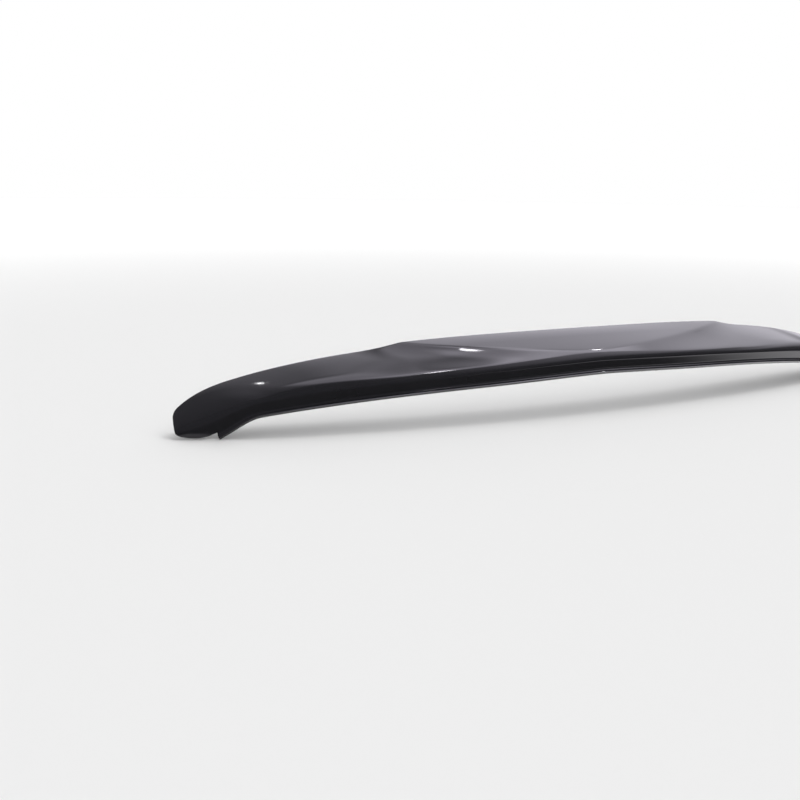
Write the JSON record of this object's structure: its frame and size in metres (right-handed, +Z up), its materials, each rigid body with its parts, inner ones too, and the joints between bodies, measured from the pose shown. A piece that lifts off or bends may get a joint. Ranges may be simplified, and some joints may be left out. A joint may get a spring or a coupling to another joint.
{
  "type": "hood bug deflector",
  "caption": "Low, flush wind and insect deflector of smoke acrylic, formed over the front edge of a vehicle's hood and held by hidden foam tape.",
  "frame": {"origin": "on the centre plane, at the foot of the front face, where the shield meets the lower front edge of the hood", "axes": "+X across the vehicle, towards the picture's right; -Y forwards, away from the hood; +Z up"},
  "size_m": [1.1778, 0.1203, 0.109],
  "materials": {
    "smoke_acrylic": "polished dark smoke acrylic, nearly opaque, with polished cut edges",
    "foam_tape": "matt black double-sided foam tape"
  },
  "bodies": {
    "root": {"shield": "smoke_acrylic", "upper_tape_left": "foam_tape", "upper_tape_centre": "foam_tape", "upper_tape_right": "foam_tape", "lower_tape_left": "foam_tape", "lower_tape_centre": "foam_tape", "lower_tape_right": "foam_tape", "end_tape_left": "foam_tape", "end_tape_right": "foam_tape"}
  },
  "joints": []
}
